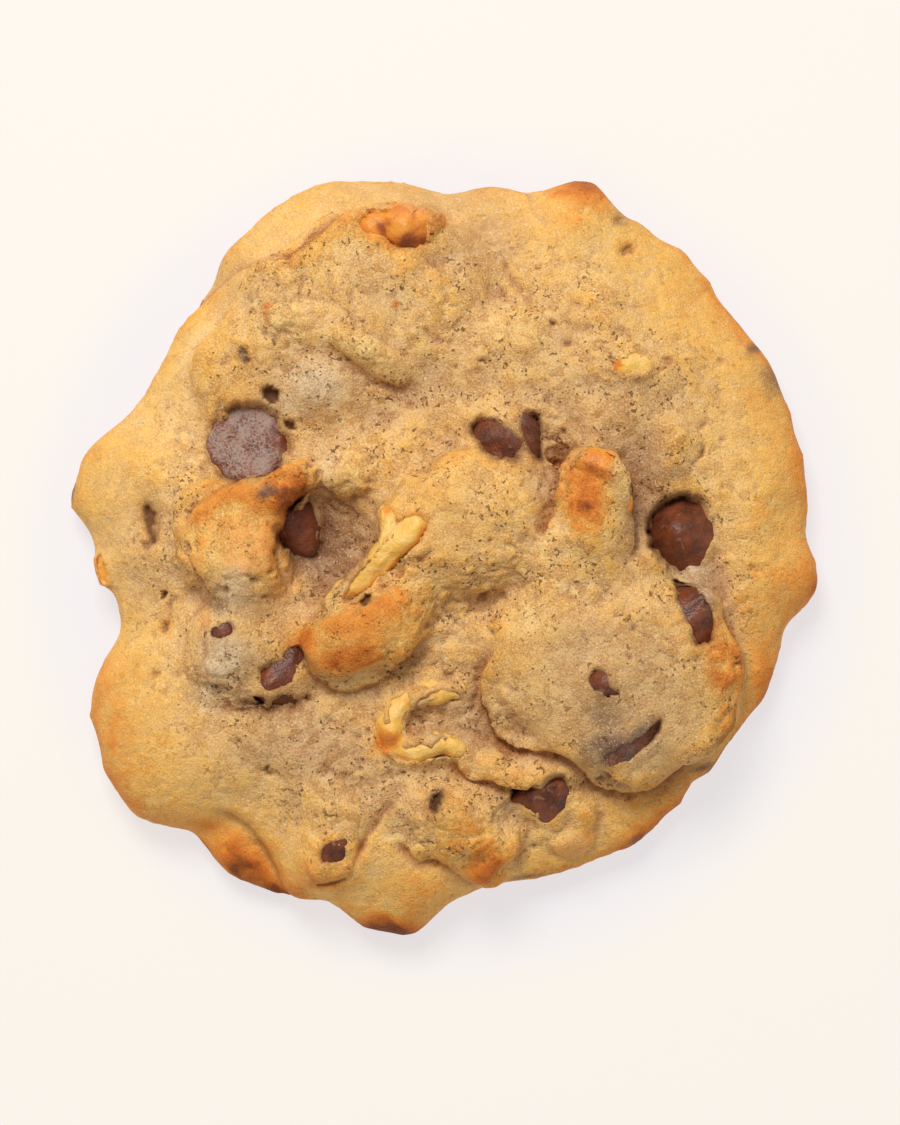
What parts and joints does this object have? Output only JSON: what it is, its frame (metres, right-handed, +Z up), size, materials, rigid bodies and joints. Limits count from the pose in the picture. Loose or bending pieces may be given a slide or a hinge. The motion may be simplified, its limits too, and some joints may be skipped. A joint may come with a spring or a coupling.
{
  "type": "chocolate chip cookie",
  "caption": "Thick round baked cookie with an uneven, lumpy top, chocolate chips and walnut pieces pressed into it, and a flat underside.",
  "frame": {"origin": "on the flat underside, below the middle of the outline seen from above", "axes": "+Z up, out of the baked top; +X to the right and +Y to the far side of the cookie as seen from above"},
  "size_m": [0.0958, 0.097, 0.0218],
  "materials": {
    "dough": "matte",
    "chocolate": "satin",
    "walnut": "satin"
  },
  "bodies": {
    "root": {"dough": "dough", "chip_bloomed": "chocolate", "chip_by_nose": "chocolate", "chip_north": "chocolate", "chip_east": "chocolate", "chip_east_low": "chocolate", "chip_dome": "chocolate", "chip_dome_low": "chocolate", "chip_ledge": "chocolate", "chip_west_low": "chocolate", "chip_west": "chocolate", "chip_south": "chocolate", "walnut_north": "walnut", "walnut_fork": "walnut", "walnut_hook": "walnut", "walnut_peak": "walnut", "walnut_east": "walnut", "walnut_west": "walnut", "walnut_rim": "walnut"}
  },
  "joints": []
}
